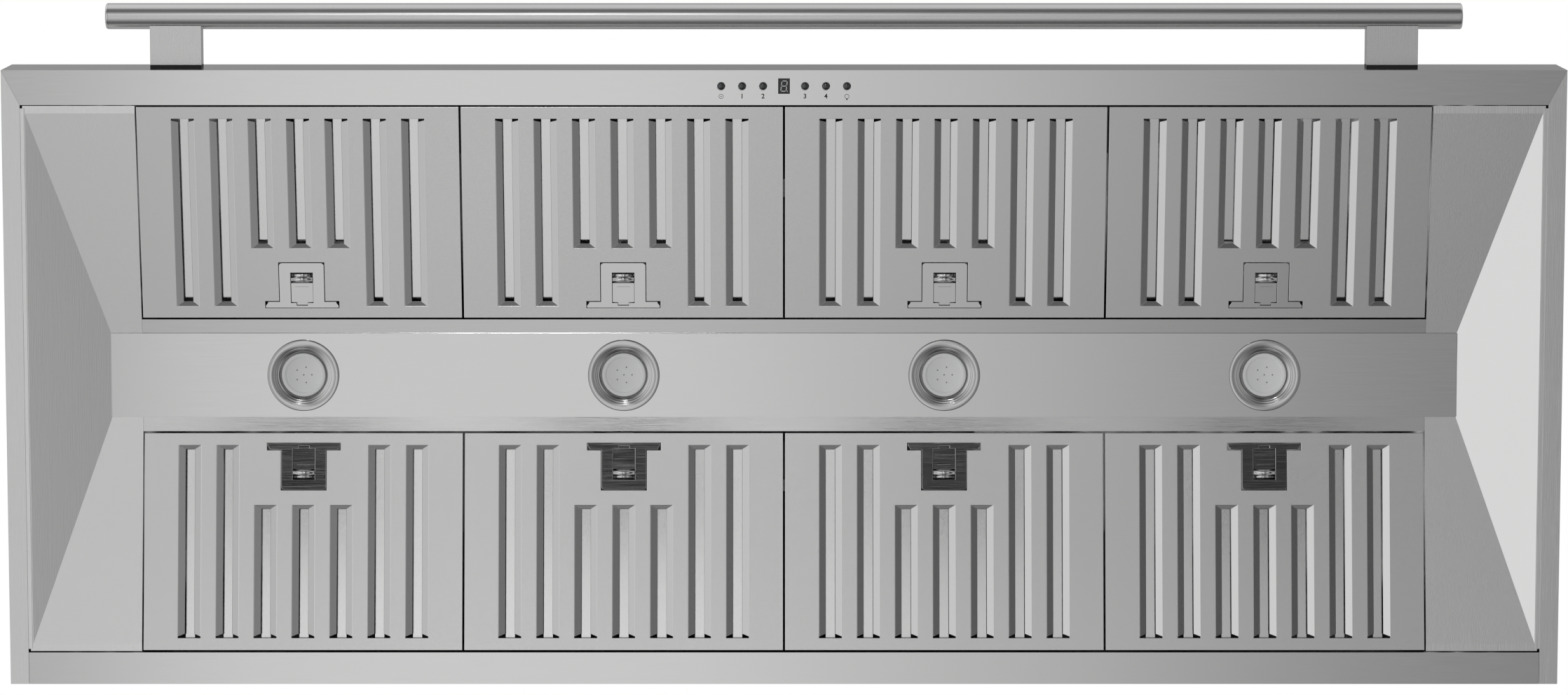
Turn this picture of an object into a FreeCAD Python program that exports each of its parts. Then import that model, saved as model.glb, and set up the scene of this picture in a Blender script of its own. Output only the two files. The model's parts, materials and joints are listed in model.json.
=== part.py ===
"""Island range hood: a parametric FreeCAD document, one STEP file for each node.

The hood hangs from the ceiling. +Z is up, -Y is the side with the rail and the buttons, and
+X is to the right of a cook who faces that side. The origin is the centre of the ceiling
plate's top face. Everything on the hood is drawn from its rim plane, the lowest face of the
aprons, and its Placement then lowers it by total_height.
"""
import FreeCAD, Part
import Sketcher
import os
import re

DIMENSIONS = {
    # whole hood
    "hood_length": 1524, "hood_depth": 606, "total_height": 900, "apron_height": 76,
    "canopy_rise": 260, "steel": 1.2, "gap": 0.3,
    # flanges under the aprons
    "front_flange": 34, "rear_flange": 31.5, "side_flange": 18, "lip_height": 4.5,
    # trough: two slopes with the filters, a flat light panel along its ridge
    "rim_gap": 1, "seat_height": 1.5, "filter_tilt": 9.3, "panel_length": 1326,
    "panel_width": 83, "liner_reach": 742, "ledge_width": 14, "ledge_flange": 6,
    "ledge_web": 20,
    # filters
    "filter_pitch": 316, "filter_gap": 2, "filter_depth": 14, "filter_steel": 0.9,
    "ledge_gap": 1.8, "slot_pitch": 37.4, "slot_width": 22.4, "slot_floor": 9,
    "slot_depth": 3.4, "slot_start": 13, "long_slot": 190, "short_slot": 131,
    "slot_end": 6, "baffle_level": 10, "tongue_width": 30, "tongue_reach": 3.5,
    "tongue_level": 3.6, "tongue_offset": 100,
    # pull latches
    "latch_stem": 44, "latch_height": 45.5, "latch_base": 71.6, "latch_base_height": 6,
    "latch_edge": 10.4, "latch_plate": 0.6, "window_width": 22, "window_length": 31,
    "window_margin": 9.7, "slider_width": 26, "slider_plate": 1.2, "slider_level": 1.3,
    "bolt_width": 18, "bolt_reach": 0.5, "scoop_radius": 5.2, "keeper_inset": 4.4,
    # lights
    "light_pitch": 316, "ring_radius": 35.4, "ring_opening": 22, "panel_hole": 31,
    "lens_radius": 21.6, "can_radius": 33, "can_height": 34,
    # controls
    "button_pitch": 20.4, "button_radius": 4.15, "button_hole": 4.5, "button_inset": 15.5,
    "button_collar": 5.6, "button_dome": 1.6, "button_travel": 1.5,
    "display_width": 11.1, "display_length": 14.8, "control_length": 176,
    "control_width": 27, "control_height": 24, "board_level": 12,
    # rail
    "rail_radius": 12.7, "rail_wall": 1.5, "rail_length": 1327, "rail_reach": 50,
    "rail_level": 40, "post_width": 50, "post_height": 20, "post_offset": 595,
    "post_cope": 9, "gasket": 3, "rail_cap": 2,
    # chimney and frame
    "chimney_length": 400, "chimney_depth": 330, "chimney_step": 5,
    "lower_cover": 340, "upper_cover": 470, "angle_leg": 25, "angle_steel": 2.5,
    "angle_inset": 4, "upper_angle": 480, "lower_angle": 384, "frame_band": 20,
    "plate_steel": 3, "duct_opening": 270, "bolt_spacing_x": 330, "bolt_spacing_y": 200,
    "bolt_hole": 5, "cable_hole": 11,
    # blowers and duct
    "blower_offset": 70, "blower_width": 96, "scroll_radius": 98, "blower_axis": 190,
    "inlet_radius": 60, "wheel_radius": 70, "wheel_width": 84, "blade_depth": 14,
    "motor_radius": 38, "motor_length": 56, "shaft_radius": 4, "shaft_play": 0.05,
    "outlet_inset": 20, "collar_radius": 125, "collar_height": 90, "plenum_length": 300,
    "plenum_depth": 290, "plenum_height": 40, "flap_gap": 1.5,
}

doc = FreeCAD.newDocument("RangeHood")
sheet = doc.addObject("Spreadsheet::Sheet", "Dim")
for row, (alias, value) in enumerate(DIMENSIONS.items(), start=1):
    sheet.set(f"A{row}", alias)
    sheet.set(f"B{row}", str(value))
    sheet.setAlias(f"B{row}", alias)
doc.recompute()

ALIAS_WORDS = re.compile(r"\b(" + "|".join(sorted(DIMENSIONS, key=len, reverse=True)) + r")\b")
nodes = {}

# Places that several pieces share, written in terms of the sheet.
TROUGH_SHIFT = "((front_flange - rear_flange) / 2)"
HALF_TROUGH = "(hood_depth / 2 - (front_flange + rear_flange) / 2 - rim_gap)"
SLOPE_RUN = f"({HALF_TROUGH} - panel_width / 2)"
PANEL_RISE = f"(seat_height + {SLOPE_RUN} * tan(filter_tilt))"
FILTER_LENGTH = f"(({SLOPE_RUN} - ledge_width) / cos(filter_tilt) - ledge_gap)"
BANK_HALF = "(filter_pitch * 2)"
CANOPY_TOP = "(apron_height + canopy_rise)"
CANOPY_SKIN = "(steel * 3 / 4)"
COVER_LENGTH = "(chimney_length - 2 * chimney_step)"
COVER_DEPTH = "(chimney_depth - 2 * chimney_step)"
ANGLE_X = f"({COVER_LENGTH} / 2 - steel - angle_inset)"
ANGLE_Y = f"({COVER_DEPTH} / 2 - steel - angle_inset)"
NESTING = "(angle_steel + gap)"
BLOWER_PLATE_TOP = f"({CANOPY_TOP} - {CANOPY_SKIN})"
DROP = "-total_height"
TURN_FOR_AXIS = {"x": "rotationy(90)", "y": "rotationx(-90)", "z": "rotationz(0)"}


def bound(text):
    """An expression with each sheet alias in it written as a reference to its cell."""
    return ALIAS_WORDS.sub(r"Dim.\1", str(text))


def value_of(text):
    """The number that an expression over the sheet comes to."""
    value = sheet.evalExpression(str(text))
    return float(getattr(value, "Value", value))


def bind(obj, **properties):
    """Drive each property of an object from the sheet."""
    for name, text in properties.items():
        obj.setExpression(name, bound(text))
    return obj


def place(obj, x="0", y="0", z="0", turn="rotationz(0)"):
    """Put an object at x, y, z after turning it."""
    obj.setExpression("Placement", bound(f"placement(vector({x}; {y}; {z}); {turn})"))
    return obj


def box(name, length, width, height, x="0", y="0", z="0", centred="xy"):
    """A block; along each axis named in centred, its place is its middle instead of its low side."""
    solid = bind(doc.addObject("Part::Box", name), Length=length, Width=width, Height=height)
    low = {"x": x, "y": y, "z": z}
    for axis, size in zip("xyz", (length, width, height)):
        if axis in centred:
            low[axis] = f"({low[axis]}) - ({size}) / 2"
    return place(solid, **low)


def cylinder(name, radius, length, x="0", y="0", z="0", axis="z"):
    """A round bar from its low end along an axis."""
    solid = bind(doc.addObject("Part::Cylinder", name), Radius=radius, Height=length)
    return place(solid, x, y, z, TURN_FOR_AXIS[axis])


def hopper(name, base, top, height, x="0", y="0", z="0"):
    """A block with sloping sides: base and top are its length and depth at its two levels.

    Part::Wedge grows along its own Y, so it is stood up with a quarter turn.
    """
    solid = bind(doc.addObject("Part::Wedge", name),
                 Xmin=f"-({base[0]}) / 2", Xmax=f"({base[0]}) / 2",
                 Zmin=f"-({base[1]}) / 2", Zmax=f"({base[1]}) / 2",
                 X2min=f"-({top[0]}) / 2", X2max=f"({top[0]}) / 2",
                 Z2min=f"-({top[1]}) / 2", Z2max=f"({top[1]}) / 2",
                 Ymin="0", Ymax=height)
    return place(solid, x, y, z, "rotationx(90)")


def fuse(name, *shapes):
    joined = doc.addObject("Part::MultiFuse", name)
    joined.Shapes = list(shapes)
    joined.Refine = True
    return joined


def cut(name, base, *tools):
    """The base without the tools."""
    result = doc.addObject("Part::Cut", name)
    result.Base = base
    result.Tool = tools[0] if len(tools) == 1 else fuse(name + "_tools", *tools)
    return result


def common(name, first, second):
    shared = doc.addObject("Part::Common", name)
    shared.Base = first
    shared.Tool = second
    return shared


def group(name, *members, x="0", y="0", z="0", turn="rotationz(0)"):
    """Separate solids that keep their own shapes and move as one piece."""
    compound = doc.addObject("Part::Compound", name)
    compound.Links = list(members)
    return place(compound, x, y, z, turn)


def mirrored(name, source, normal):
    twin = doc.addObject("Part::Mirroring", name)
    twin.Source = source
    twin.Normal = normal
    return twin


def attach(body, name, role, offset="0"):
    """A new sketch of a body on one of the body's own origin planes."""
    plane = next(feature for feature in body.Origin.OriginFeatures if feature.Role == role)
    sketch = body.newObject("Sketcher::SketchObject", name)
    sketch.AttachmentSupport = [(plane, "")]
    sketch.MapMode = "FlatFace"
    sketch.setExpression("AttachmentOffset.Base.z", bound(offset))
    return sketch


def pin_point(sketch, index, end, across, up):
    """Hold one corner of a sketch at a place that the sheet gives."""
    for kind, text, value, axis in (("DistanceX", across, value_of(across), -2),
                                    ("DistanceY", up, value_of(up), -1)):
        if text == "0":
            sketch.addConstraint(Sketcher.Constraint("PointOnObject", index, end, axis))
        else:
            number = sketch.addConstraint(Sketcher.Constraint(kind, -1, 1, index, end, value))
            sketch.setExpression(f"Constraints[{number}]", bound(text))


def draw_outline(sketch, corners):
    """A closed outline of straight lines through corners given as pairs of expressions."""
    points = [FreeCAD.Vector(value_of(across), value_of(up), 0) for across, up in corners]
    for index, point in enumerate(points):
        following = points[(index + 1) % len(points)]
        sketch.addGeometry(Part.LineSegment(point, following), False)
    for index, (across, up) in enumerate(corners):
        following = (index + 1) % len(corners)
        sketch.addConstraint(Sketcher.Constraint("Coincident", index, 2, following, 1))
        pin_point(sketch, index, 1, across, up)


def pad(body, name, role, corners, length, offset="0"):
    """Add an outline's extrusion to a body, along its plane's normal."""
    sketch = attach(body, name + "_outline", role, offset)
    draw_outline(sketch, corners)
    feature = body.newObject("PartDesign::Pad", name)
    feature.Profile = sketch
    return bind(feature, Length=length)


def revolve(body, name, corners):
    """Add an outline in the XZ plane, turned once round Z."""
    sketch = attach(body, name + "_outline", "XZ_Plane")
    draw_outline(sketch, corners)
    feature = body.newObject("PartDesign::Revolution", name)
    feature.Profile = sketch
    feature.ReferenceAxis = (sketch, ["V_Axis"])
    feature.Angle = 360
    return feature


def rectangle(low_across, high_across, low_up, high_up):
    return [(low_across, low_up), (high_across, low_up), (high_across, high_up),
            (low_across, high_up)]


def keep(node, *shapes, level=DROP):
    """Make finished shapes a node: its Label names its file, its Placement sets its level."""
    piece = group(node, *shapes, z=level)
    piece.Label = node
    nodes[node] = piece


# Aprons: folded sheets with a flange under each and a lip at the flange's inner edge. The
# front flange is mitred against the side flanges, and the rear one is butted between them.

MITRE_X = "(hood_length / 2 - side_flange)"

front_body = doc.addObject("PartDesign::Body", "front_apron_sheet")
pad(front_body, "front_flange_pad", "XY_Plane",
    [("-(hood_length / 2)", "-(hood_depth / 2)"), ("hood_length / 2", "-(hood_depth / 2)"),
     (MITRE_X, "front_flange - hood_depth / 2"),
     ("-" + MITRE_X, "front_flange - hood_depth / 2")], "steel")
pad(front_body, "front_face_pad", "XY_Plane",
    rectangle("-(hood_length / 2)", "hood_length / 2", "-(hood_depth / 2)",
              "steel - hood_depth / 2"), "apron_height")
pad(front_body, "front_lip_pad", "XY_Plane",
    rectangle("-(liner_reach - side_flange)", "liner_reach - side_flange",
              "front_flange - hood_depth / 2 - steel", "front_flange - hood_depth / 2"),
    "lip_height")

BUTTON_Y = "(button_inset - hood_depth / 2)"
BUTTON_PLACES = {"button_power": -3, "button_speed_1": -2, "button_speed_2": -1,
                 "button_speed_3": 1, "button_speed_4": 2, "button_light": 3}
button_holes = [cylinder(f"{name}_hole", "button_hole", "3 * steel",
                         f"{steps} * button_pitch", BUTTON_Y, "-steel")
                for name, steps in BUTTON_PLACES.items()]
display_hole = box("display_hole", "display_width + gap", "display_length + gap", "3 * steel",
                   "0", BUTTON_Y, "-steel")
POST_SCREW_RADIUS = "3"
post_screw_holes = [cylinder(f"post_screw_hole_{side}{row}", POST_SCREW_RADIUS, "4 * steel",
                             f"{side}1 * post_offset + {row} * post_width / 4",
                             "-(hood_depth / 2 + steel)", "rail_level", "y")
                    for side in "-+" for row in (-1, 1)]
keep("front_apron", cut("front_apron_cut", front_body, display_hole,
                        *button_holes, *post_screw_holes))

rear_body = doc.addObject("PartDesign::Body", "rear_apron_sheet")
pad(rear_body, "rear_flange_pad", "XY_Plane",
    rectangle(f"gap - {MITRE_X}", f"{MITRE_X} - gap", "hood_depth / 2 - rear_flange",
              "hood_depth / 2"), "steel")
pad(rear_body, "rear_face_pad", "XY_Plane",
    rectangle("steel - hood_length / 2", "hood_length / 2 - steel", "hood_depth / 2 - steel",
              "hood_depth / 2"), "apron_height - steel", "steel")
pad(rear_body, "rear_lip_pad", "XY_Plane",
    rectangle("-(liner_reach - side_flange)", "liner_reach - side_flange",
              "hood_depth / 2 - rear_flange", "hood_depth / 2 - rear_flange + steel"),
    "lip_height")
keep("rear_apron", rear_body)

left_body = doc.addObject("PartDesign::Body", "left_apron_sheet")
pad(left_body, "side_flange_pad", "XY_Plane",
    [("-(hood_length / 2)", "-(hood_depth / 2) + gap"),
     ("-" + MITRE_X, "front_flange - hood_depth / 2 + gap"),
     ("-" + MITRE_X, "hood_depth / 2"), ("-(hood_length / 2)", "hood_depth / 2")], "steel")
pad(left_body, "side_face_pad", "XY_Plane",
    rectangle("-(hood_length / 2)", "steel - hood_length / 2", "steel - hood_depth / 2",
              "hood_depth / 2"), "apron_height - steel", "steel")
keep("left_apron", left_body)
keep("right_apron", mirrored("right_apron_mirror", left_body, FreeCAD.Vector(1, 0, 0)))

# Canopy: a sloped four-sided cover, open below, with a flat top that the chimney stands on.

canopy_outside = hopper("canopy_outside", ("hood_length", "hood_depth"),
                        ("chimney_length", "chimney_depth"), "canopy_rise", z="apron_height")
canopy_inside = hopper("canopy_inside",
                       (f"hood_length - 2 * {CANOPY_SKIN}", f"hood_depth - 2 * {CANOPY_SKIN}"),
                       (f"chimney_length - 2 * {CANOPY_SKIN}",
                        f"chimney_depth - 2 * {CANOPY_SKIN}"),
                       "canopy_rise", z=f"apron_height - {CANOPY_SKIN}")
canopy_mouth = box("canopy_mouth", f"hood_length - 2 * {CANOPY_SKIN}",
                   f"hood_depth - 2 * {CANOPY_SKIN}", "2 * steel", z="apron_height - 2 * steel")
canopy_outlet = box("canopy_outlet", "plenum_length - 2 * frame_band",
                    "plenum_depth - 2 * frame_band", "4 * steel", z=f"{CANOPY_TOP} - 2 * steel")
keep("canopy_shell", cut("canopy_cut", canopy_outside, canopy_inside, canopy_mouth,
                         canopy_outlet))

# Trough: one hipped skin. Its ends are the liners and its two strips beside the light panel
# are the filter ledges; the slopes between them are left open for the filters.

trough_low = hopper("trough_low", ("2 * liner_reach", f"2 * {HALF_TROUGH}"),
                    ("panel_length", "panel_width"), f"{PANEL_RISE} - seat_height",
                    y=TROUGH_SHIFT, z="seat_height")
trough_high = hopper("trough_high", ("2 * liner_reach", f"2 * {HALF_TROUGH}"),
                     ("panel_length", "panel_width"), f"{PANEL_RISE} - seat_height",
                     y=TROUGH_SHIFT, z="seat_height + steel")
trough_skin = cut("trough_skin", trough_high, trough_low)
LINER_EDGE = f"({BANK_HALF} + filter_gap / 4)"
liner_region = box("liner_region", f"liner_reach - {LINER_EDGE}", "hood_depth", "hood_depth",
                   "-liner_reach", "0", "0", centred="y")
liner_foot = box("liner_foot", "hood_length / 2 - liner_reach - 3 * steel",
                 f"2 * {HALF_TROUGH} - 4 * steel", "steel",
                 "3 * steel - hood_length / 2", TROUGH_SHIFT, "steel", centred="y")
liner_hem = box("liner_hem", "2 * steel", f"2 * {HALF_TROUGH} - 4 * steel", "1.5 * steel",
                "-liner_reach - steel / 2", TROUGH_SHIFT, "steel", centred="y")
liner_skin = common("liner_skin", trough_skin, liner_region)
left_liner = fuse("left_liner_fold", liner_skin, liner_foot, liner_hem)
keep("left_liner", left_liner)
keep("right_liner", mirrored("right_liner_mirror", left_liner, FreeCAD.Vector(1, 0, 0)))

LEDGE_OUTER = "(panel_width / 2 + ledge_width)"
LEDGE_INNER = "(panel_width / 2 - ledge_flange)"
ledge_region = box("ledge_region", f"2 * {LINER_EDGE} - gap", "ledge_width + ledge_flange",
                   "hood_depth", "0", f"{TROUGH_SHIFT} - {LEDGE_OUTER}", "0", centred="x")
ledge_upright = box("ledge_upright", f"2 * {LINER_EDGE} - gap", "steel", "ledge_web",
                    "0", f"{TROUGH_SHIFT} - {LEDGE_INNER} - steel", PANEL_RISE, centred="x")
front_ledge = fuse("front_ledge_fold", common("front_ledge_strip", trough_skin, ledge_region),
                   ledge_upright)
keep("front_filter_ledge", front_ledge)
keep("rear_filter_ledge", group("rear_ledge_turned", front_ledge, y=f"2 * {TROUGH_SHIFT}",
                                turn="rotationz(180)"))

# Light panel, screwed up against the ledges and the liners, with four lights along it.

light_sheet = box("light_sheet", "panel_length", "panel_width", "steel",
                  "0", TROUGH_SHIFT, f"{PANEL_RISE} - steel")
LIGHT_STEPS = (-1.5, -0.5, 0.5, 1.5)
light_holes = [cylinder(f"light_hole_{number}", "panel_hole", "3 * steel",
                        f"{step} * light_pitch", TROUGH_SHIFT, f"{PANEL_RISE} - 2 * steel")
               for number, step in enumerate(LIGHT_STEPS, start=1)]
keep("light_panel", cut("light_panel_cut", light_sheet, *light_holes))

PANEL_FACE = f"({PANEL_RISE} - steel)"
ring_body = doc.addObject("PartDesign::Body", "ring_turning")
SPIGOT = "(panel_hole - 0.8)"
revolve(ring_body, "ring_revolution",
        [("ring_radius", "-gap"), ("ring_radius", "-(gap + 1.6)"),
         ("ring_radius - 0.8", "-(gap + 2.2)"), ("ring_radius - 7.6", "-(gap + 2.2)"),
         ("ring_radius - 7.6", "-(gap + 1.3)"), ("ring_opening + 4", "-(gap + 1.3)"),
         ("ring_opening + 4", "1.5"), ("ring_opening", "3"), ("ring_opening", "4.2"),
         ("ring_opening + 5.2", "2.4"), (f"{SPIGOT} - 1", "2.4"), (f"{SPIGOT} - 1", "9"),
         (SPIGOT, "9"), (SPIGOT, "-gap")])

lens = cylinder("lens_disc", "lens_radius", "2", z="2.2")
module = fuse("led_module", cylinder("led_seat", "lens_radius - 1.6", "0.6", z="4.2"),
              cylinder("led_board", "can_radius - 5", "7.2", z="4.8"),
              cylinder("led_heat_sink", "can_radius - 9", "can_height - 12 + steel", z="12"))
can = cut("light_can", cylinder("can_outside", "can_radius", "can_height + steel", z="steel"),
          cylinder("can_inside", "can_radius - steel", "can_height", z="steel"))
light_parts = {"light_lenses": lens, "led_modules": module, "light_housings": can}
for node, source in light_parts.items():
    copies = [group(f"{node}_{number}", source, x=f"{step} * light_pitch", y=TROUGH_SHIFT,
                    z=PANEL_FACE) for number, step in enumerate(LIGHT_STEPS, start=1)]
    keep(node, *copies)
for number, step in enumerate(LIGHT_STEPS, start=1):
    ring = group(f"light_ring_{number}_place", ring_body, x=f"{step} * light_pitch",
                 y=TROUGH_SHIFT, z=PANEL_FACE)
    keep(f"light_ring_{number}", ring)

# Filter: drawn flat with its hinge edge along X at y = 0, its face at z = 0 and its inside
# upwards, then tilted into each of its eight places. It is a shallow tray with seven pressed
# slots, a baffle layer of strips above the slots, a latch plate on the face and a keeper.

FILTER_WIDTH = "(filter_pitch - filter_gap)"
WINDOW_Y = (f"({FILTER_LENGTH} - latch_edge - latch_height + window_margin"
            " + window_length / 2)")
tray_block = box("tray_block", FILTER_WIDTH, FILTER_LENGTH, "filter_depth", centred="x")
tray_hollow = box("tray_hollow", f"{FILTER_WIDTH} - 2 * filter_steel",
                  f"{FILTER_LENGTH} - 2 * filter_steel", "filter_depth", "0", "filter_steel",
                  "filter_steel", centred="x")
tray = cut("tray_pan", tray_block, tray_hollow)
presses, slots = [], []
for number in range(-3, 4):
    length = "short_slot" if abs(number) < 2 else "long_slot"
    place_x = f"{number} * slot_pitch"
    low_y = f"slot_start + {length} / 2"
    presses.append(hopper(f"press_{number + 4}",
                          ("slot_width + 2 * filter_steel", f"{length} + 2 * filter_steel"),
                          ("slot_floor + 2 * filter_steel",
                           f"{length} + 2 * filter_steel - slot_end"),
                          "slot_depth", place_x, low_y))
    slots.append(hopper(f"slot_{number + 4}", ("slot_width", length),
                        ("slot_floor", f"{length} - slot_end"), "slot_depth", place_x, low_y))
window = box("latch_window", "window_width", "window_length", "4 * filter_steel", "0",
             WINDOW_Y, "-2 * filter_steel")
bolt_slot = box("bolt_slot", "bolt_width + 4 * gap", "4 * filter_steel",
                "slider_plate + 2 * gap", "0", FILTER_LENGTH, "slider_level - gap")
tongues = [box(f"tongue_{side}", "tongue_width", "tongue_reach + filter_steel", "filter_steel",
               f"{side}1 * tongue_offset", "-tongue_reach", "tongue_level", centred="x")
           for side in "-+"]
pressed_tray = cut("pressed_tray", fuse("tray_with_presses", tray, *presses, *tongues),
                   *slots, window, bolt_slot)

baffle_sheet = box("baffle_sheet", f"{FILTER_WIDTH} - 2 * filter_steel",
                   f"{FILTER_LENGTH} - 2 * filter_steel", "filter_steel", "0", "filter_steel",
                   "baffle_level", centred="x")
baffle_windows = [box(f"baffle_window_{number}", "slot_pitch - slot_floor", "long_slot",
                      "3 * filter_steel", f"({number} - 2.5) * slot_pitch", "slot_start",
                      "baffle_level - filter_steel", centred="x") for number in range(6)]
baffle = cut("baffle_layer", baffle_sheet, *baffle_windows)

latch_plate_end = f"({FILTER_LENGTH} - latch_edge)"
latch_face = cut("latch_face",
                 fuse("latch_tee",
                      box("latch_tee_stem", "latch_stem", "latch_height", "latch_plate", "0",
                          f"{latch_plate_end} - latch_height", "-latch_plate", centred="x"),
                      box("latch_tee_base", "latch_base", "latch_base_height", "latch_plate",
                          "0", f"{latch_plate_end} - latch_base_height", "-latch_plate",
                          centred="x")), window)
KEEPER_LEVEL = "(slider_level + slider_plate + gap)"
keeper_y = f"({FILTER_LENGTH} - latch_edge - keeper_inset)"
keeper = cut("latch_keeper",
             box("keeper_block", "slider_width + 8", "6",
                 KEEPER_LEVEL, "0", keeper_y,
                 "filter_steel"),
             box("keeper_channel", "slider_width + 2 * gap", "8",
                 f"{KEEPER_LEVEL} - filter_steel", "0", keeper_y, "filter_steel"))

# Latch slider: a flat plate behind the window with a narrow bolt at its ledge end and a
# finger scoop rolled inwards at the other end.

SCOOP_Y = f"({WINDOW_Y} - window_length / 2 + scoop_radius + 1.7)"
slider_plate = box("slider_sheet", "slider_width", f"{FILTER_LENGTH} - 4 - {SCOOP_Y}"
                   " - scoop_radius / 2", "slider_plate", "0",
                   f"{SCOOP_Y} + scoop_radius / 2", "slider_level", centred="x")
slider_bolt = box("slider_bolt", "bolt_width", "bolt_reach + 8", "slider_plate", "0",
                  f"{FILTER_LENGTH} - 8", "slider_level", centred="x")
scoop_roll = cut("scoop_roll",
                 cylinder("scoop_outside", "scoop_radius", "window_width - 2 * gap",
                          "gap - window_width / 2", SCOOP_Y, "slider_level", "x"),
                 cylinder("scoop_inside", "scoop_radius - slider_plate", "window_width",
                          "-window_width / 2", SCOOP_Y, "slider_level", "x"),
                 box("scoop_mouth", "window_width", "3 * scoop_radius", "2 * scoop_radius",
                     "0", SCOOP_Y, "slider_level - 2 * scoop_radius"))
slider = fuse("latch_slider", slider_plate, slider_bolt, scoop_roll)

for bank, side, heading in (("front", "-", 0), ("rear", "+", 180)):
    for number, step in enumerate(LIGHT_STEPS, start=1):
        spot = {"x": f"{step} * filter_pitch", "y": f"{TROUGH_SHIFT} {side} {HALF_TROUGH}",
                "z": "seat_height", "turn": f"rotationz({heading}) * rotationx(filter_tilt)"}
        filter_name = f"filter_{bank}_{number}"
        keep(filter_name, group(filter_name + "_place", pressed_tray, baffle, latch_face,
                                keeper, **spot))
        latch_name = f"latch_{bank}_{number}"
        keep(latch_name, group(latch_name + "_place", slider, **spot))

# Controls: six domed buttons through the front flange, each under a switch on the board.

button_stem = cylinder("button_stem", "button_radius", "steel + 4 * gap", z="-gap")
button_rim = cylinder("button_rim", "button_collar", "steel", z="steel + gap")
dome_ball = bind(doc.addObject("Part::Ellipsoid", "dome_ball"), Radius1="button_dome",
                 Radius2="button_radius", Radius3="button_radius", Angle2="0")
place(dome_ball, z="-gap")
button = fuse("button_turning", button_stem, button_rim, dome_ball)
SWITCH_BOTTOM = "(2 * steel + 2 * gap + button_travel)"
for name, steps in BUTTON_PLACES.items():
    keep(name, group(name + "_place", button, x=f"{steps} * button_pitch", y=BUTTON_Y))

BOX_Y = "(control_width / 2 + steel + gap - hood_depth / 2)"
housing = cut("control_shell",
              box("control_outside", "control_length", "control_width", "control_height",
                  "0", BOX_Y, "steel"),
              box("control_inside", "control_length - 4", "control_width - 4",
                  "control_height - 2", "0", BOX_Y, "steel"))
board_posts = [box(f"board_post_{side}", "6", "6", "control_height + steel - board_level - 3",
                   f"{side}1 * (control_length / 2 - 8)", BOX_Y, "board_level + 2")
               for side in "-+"]
keep("control_housing", fuse("control_case", housing, *board_posts))

board = box("board_sheet", "control_length - 6", "control_width - 6", "2", "0", BOX_Y,
            "board_level")
switches = [box(f"{name}_switch", "6", "6", f"board_level - {SWITCH_BOTTOM} + 0.5",
                f"{steps} * button_pitch", BUTTON_Y, SWITCH_BOTTOM)
            for name, steps in BUTTON_PLACES.items()]
display_block = box("display_block", "display_width - gap", "display_length - gap",
                    "board_level - 3 + 0.5", "0", BUTTON_Y, "3")
keep("control_board", fuse("control_circuit", board, display_block, *switches))
keep("display_window", box("display_pane", "display_width", "display_length", "3 - gap",
                           "0", BUTTON_Y, "gap"))

# Rail: a tube with end caps on two coped posts, with a rubber gasket under each post.

RAIL_Y = "(-(hood_depth / 2) - rail_reach)"
rail_tube = cut("rail_tube",
                cylinder("rail_outside", "rail_radius", "rail_length - 2 * rail_cap",
                         "rail_cap - rail_length / 2", RAIL_Y, "rail_level", "x"),
                cylinder("rail_inside", "rail_radius - rail_wall", "rail_length",
                         "-rail_length / 2", RAIL_Y, "rail_level", "x"))
rail_cap = fuse("rail_cap_turning",
                cylinder("rail_cap_head", "rail_radius", "rail_cap", "-rail_length / 2",
                         RAIL_Y, "rail_level", "x"),
                cylinder("rail_cap_plug", "rail_radius - rail_wall - gap", "8",
                         "-rail_length / 2", RAIL_Y, "rail_level", "x"))
keep("handrail_tube", rail_tube, rail_cap,
     mirrored("rail_cap_mirror", rail_cap, FreeCAD.Vector(1, 0, 0)))

POST_LENGTH = "(rail_reach - gasket - post_cope)"
rail_room = cylinder("rail_room", "rail_radius + gap / 3", "rail_length", "-rail_length / 2", RAIL_Y,
                     "rail_level", "x")
posts, gaskets, post_screws = [], [], []
SCREW_DEPTH = "12"
for side in "-+":
    centre_x = f"{side}1 * post_offset"
    post_block = box(f"post_block_{side}", "post_width", POST_LENGTH, "post_height", centre_x,
                     f"-(hood_depth / 2) - gasket - {POST_LENGTH}", "rail_level", centred="xz")
    gasket_block = box(f"gasket_block_{side}", "post_width", "gasket", "post_height", centre_x,
                       "-(hood_depth / 2) - gasket", "rail_level", centred="xz")
    threads = [cylinder(f"post_thread_{side}{row}", POST_SCREW_RADIUS, f"{SCREW_DEPTH} + gasket",
                        f"{centre_x} + {row} * post_width / 4",
                        f"-(hood_depth / 2) - gasket - {SCREW_DEPTH}", "rail_level", "y")
               for row in (-1, 1)]
    posts.append(cut(f"post_{side}", post_block, rail_room, *threads))
    gaskets.append(cut(f"gasket_{side}", gasket_block, *threads))
    for row in (-1, 1):
        screw_x = f"{centre_x} + {row} * post_width / 4"
        post_screws.append(fuse(
            f"post_screw_{side}{row}",
            cylinder(f"post_screw_shank_{side}{row}", f"{POST_SCREW_RADIUS} - gap / 2",
                     f"{SCREW_DEPTH} + gasket + steel", screw_x,
                     f"-(hood_depth / 2) - gasket - {SCREW_DEPTH}", "rail_level", "y"),
            cylinder(f"post_screw_head_{side}{row}", "6", "3.5", screw_x,
                     "steel - hood_depth / 2", "rail_level", "y")))
keep("handrail_posts", *posts)
keep("handrail_gaskets", *gaskets)

# Chimney covers and the telescoping frame. The upper parts hang from the ceiling plate, and
# the lower parts stand on the canopy, so the two sets slide past each other.


def sleeve(name, length, depth, height, level):
    """A rectangular cover open at both ends."""
    return cut(name, box(name + "_outside", length, depth, height, z=level),
               box(name + "_inside", f"{length} - 2 * steel", f"{depth} - 2 * steel",
                   f"{height} + 2 * steel", z=f"{level} - steel"))


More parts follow.
